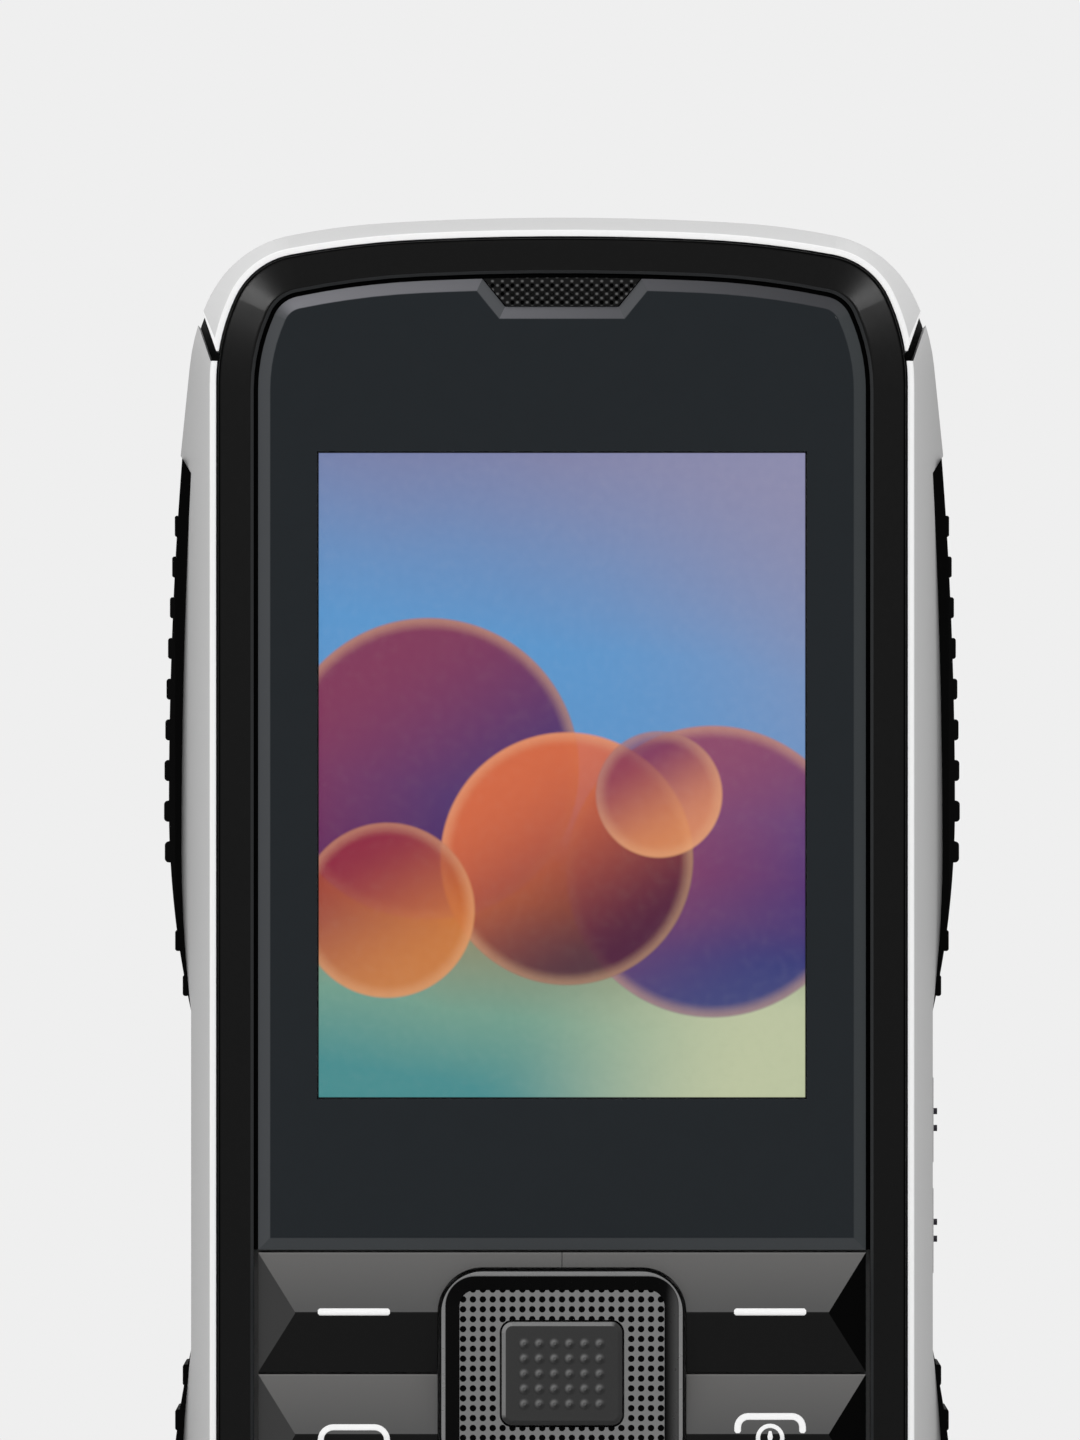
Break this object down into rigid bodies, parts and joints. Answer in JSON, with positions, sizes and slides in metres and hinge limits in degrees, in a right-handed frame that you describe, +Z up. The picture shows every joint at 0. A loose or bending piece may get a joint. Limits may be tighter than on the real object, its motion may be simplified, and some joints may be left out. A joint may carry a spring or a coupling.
{
  "type": "feature phone",
  "caption": "Bar feature phone with a tall display, faceted keypad, four-way navigation key, ribbed side grips and a lift-off battery cover.",
  "frame": {"origin": "middle of the box at the flat bottom end, which the phone stands on", "axes": "+Z up the phone from the bottom end to the top end, +Y from the front (keys and display) to the back, +X to the right as seen from the front"},
  "size_m": [0.0602, 0.0172, 0.138],
  "materials": {
    "black_gloss": "black moulded plastic, polished bezel",
    "black_satin": "black moulded plastic, fine texture",
    "cap_paint": "light silver paint on plastic, satin, with a white inner edge",
    "rail_paint": "silver grey paint on plastic, satin, with a white inner strip",
    "grip_rubber": "black soft rubber with ribs",
    "lens_glass": "clear window with a blue-black printed border and a bevelled edge",
    "grille_mesh": "black mesh",
    "lcd_glass": null,
    "flex_film": "amber flexible film",
    "dark_chrome": "dark bright-edged frame",
    "grey_metal": "dark grey anodised, fine dots",
    "key_plastic": null,
    "inner_plastic": "black moulded plastic",
    "mat_rubber": "grey silicone",
    "sheet_steel": "thin sheet metal, satin",
    "screw_steel": "plated steel",
    "board_green": "green solder mask",
    "battery_case": "grey wrapped case",
    "cover_plastic": "black fine-textured plastic",
    "camera_glass": "dark clear window",
    "torch_plastic": "clear lens",
    "led_white": "white lamp body with a yellow chip",
    "side_key_plastic": "dark plastic with small nubs"
  },
  "bodies": {
    "phone": {"antenna": "inner_plastic", "audio_jack": "inner_plastic", "battery_contacts": "inner_plastic", "bottom_cap": "cap_paint", "camera_module": "inner_plastic", "display_lens": "lens_glass", "dome_sheet": "sheet_steel", "earpiece_grille": "grille_mesh", "earpiece_speaker": "inner_plastic", "front_housing": "black_gloss", "housing_screws": "screw_steel", "keypad_mat": "mat_rubber", "lcd_flex": "flex_film", "lcd_frame": "sheet_steel", "lcd_panel": "lcd_glass", "left_rail": "rail_paint", "loudspeaker": "inner_plastic", "lower_left_grip": "grip_rubber", "lower_right_grip": "grip_rubber", "main_board": "board_green", "memory_card_socket": "sheet_steel", "microphone": "inner_plastic", "processor_shield": "sheet_steel", "radio_shield": "sheet_steel", "rear_housing": "black_satin", "right_rail": "rail_paint", "side_switches": "inner_plastic", "sim_sockets": "sheet_steel", "top_cap": "cap_paint", "torch_led": "led_white", "torch_lens": "torch_plastic", "upper_left_grip": "grip_rubber", "upper_right_grip": "grip_rubber", "usb_port": "sheet_steel", "vibration_motor": "screw_steel"},
    "cover": {"battery_cover": "cover_plastic", "camera_window": "camera_glass"},
    "battery_pack": {"battery": "battery_case"},
    "nav_carrier": {"nav_gimbal": "inner_plastic"},
    "nav_ring": {"nav_rim": "dark_chrome", "nav_plate": "grey_metal"},
    "select": {"select_key": "grey_metal"},
    "volume_up": {"volume_up_key": "side_key_plastic"},
    "volume_down": {"volume_down_key": "side_key_plastic"},
    "key_1_body": {"key_1": "key_plastic"},
    "key_2_body": {"key_2": "key_plastic"},
    "key_3_body": {"key_3": "key_plastic"},
    "key_4_body": {"key_4": "key_plastic"},
    "key_5_body": {"key_5": "key_plastic"},
    "key_6_body": {"key_6": "key_plastic"},
    "key_7_body": {"key_7": "key_plastic"},
    "key_8_body": {"key_8": "key_plastic"},
    "key_9_body": {"key_9": "key_plastic"},
    "key_star_body": {"key_star": "key_plastic"},
    "key_0_body": {"key_0": "key_plastic"},
    "key_hash_body": {"key_hash": "key_plastic"},
    "left_softkey_body": {"left_softkey": "key_plastic"},
    "right_softkey_body": {"right_softkey": "key_plastic"},
    "call_key_body": {"call_key": "key_plastic"},
    "end_key_body": {"end_key": "key_plastic"}
  },
  "joints": [
    {"name": "cover_lift", "type": "slide", "parent": "phone", "child": "cover", "axis": [0, 1, 0], "range_m": [0, 0.03]},
    {"name": "battery_lift", "type": "slide", "parent": "phone", "child": "battery_pack", "axis": [0, 1, 0], "range_m": [0, 0.015]},
    {"name": "nav_tilt_up_down", "type": "hinge", "parent": "phone", "child": "nav_carrier", "pos_m": [0, -0.0062, 0.05068], "axis": [1, 0, 0], "range_deg": [-2, 2], "stiffness_Nm_per_rad": 0.2},
    {"name": "nav_tilt_left_right", "type": "hinge", "parent": "nav_carrier", "child": "nav_ring", "pos_m": [0, -0.0062, 0.05068], "axis": [0, 0, 1], "range_deg": [-2, 2], "stiffness_Nm_per_rad": 0.2},
    {"name": "select_press", "type": "slide", "parent": "phone", "child": "select", "axis": [0, 1, 0], "range_m": [0, 0.0003], "stiffness_N_per_m": 600},
    {"name": "left_softkey_press", "type": "slide", "parent": "phone", "child": "left_softkey_body", "axis": [0, 1, 0], "range_m": [0, 0.0003], "stiffness_N_per_m": 600},
    {"name": "right_softkey_press", "type": "slide", "parent": "phone", "child": "right_softkey_body", "axis": [0, 1, 0], "range_m": [0, 0.0003], "stiffness_N_per_m": 600},
    {"name": "call_key_press", "type": "slide", "parent": "phone", "child": "call_key_body", "axis": [0, 1, 0], "range_m": [0, 0.0003], "stiffness_N_per_m": 600},
    {"name": "end_key_press", "type": "slide", "parent": "phone", "child": "end_key_body", "axis": [0, 1, 0], "range_m": [0, 0.0003], "stiffness_N_per_m": 600},
    {"name": "key_1_press", "type": "slide", "parent": "phone", "child": "key_1_body", "axis": [0, 1, 0], "range_m": [0, 0.0003], "stiffness_N_per_m": 600},
    {"name": "key_2_press", "type": "slide", "parent": "phone", "child": "key_2_body", "axis": [0, 1, 0], "range_m": [0, 0.0003], "stiffness_N_per_m": 600},
    {"name": "key_3_press", "type": "slide", "parent": "phone", "child": "key_3_body", "axis": [0, 1, 0], "range_m": [0, 0.0003], "stiffness_N_per_m": 600},
    {"name": "key_4_press", "type": "slide", "parent": "phone", "child": "key_4_body", "axis": [0, 1, 0], "range_m": [0, 0.0003], "stiffness_N_per_m": 600},
    {"name": "key_5_press", "type": "slide", "parent": "phone", "child": "key_5_body", "axis": [0, 1, 0], "range_m": [0, 0.0003], "stiffness_N_per_m": 600},
    {"name": "key_6_press", "type": "slide", "parent": "phone", "child": "key_6_body", "axis": [0, 1, 0], "range_m": [0, 0.0003], "stiffness_N_per_m": 600},
    {"name": "key_7_press", "type": "slide", "parent": "phone", "child": "key_7_body", "axis": [0, 1, 0], "range_m": [0, 0.0003], "stiffness_N_per_m": 600},
    {"name": "key_8_press", "type": "slide", "parent": "phone", "child": "key_8_body", "axis": [0, 1, 0], "range_m": [0, 0.0003], "stiffness_N_per_m": 600},
    {"name": "key_9_press", "type": "slide", "parent": "phone", "child": "key_9_body", "axis": [0, 1, 0], "range_m": [0, 0.0003], "stiffness_N_per_m": 600},
    {"name": "key_star_press", "type": "slide", "parent": "phone", "child": "key_star_body", "axis": [0, 1, 0], "range_m": [0, 0.0003], "stiffness_N_per_m": 600},
    {"name": "key_0_press", "type": "slide", "parent": "phone", "child": "key_0_body", "axis": [0, 1, 0], "range_m": [0, 0.0003], "stiffness_N_per_m": 600},
    {"name": "key_hash_press", "type": "slide", "parent": "phone", "child": "key_hash_body", "axis": [0, 1, 0], "range_m": [0, 0.0003], "stiffness_N_per_m": 600},
    {"name": "volume_up_press", "type": "slide", "parent": "phone", "child": "volume_up", "axis": [-1, 0, 0], "range_m": [0, 0.0003], "stiffness_N_per_m": 600},
    {"name": "volume_down_press", "type": "slide", "parent": "phone", "child": "volume_down", "axis": [-1, 0, 0], "range_m": [0, 0.0003], "stiffness_N_per_m": 600}
  ],
  "couplings": [
    {"joint": "battery_lift", "follows": "cover_lift", "ratio": 0.5}
  ]
}
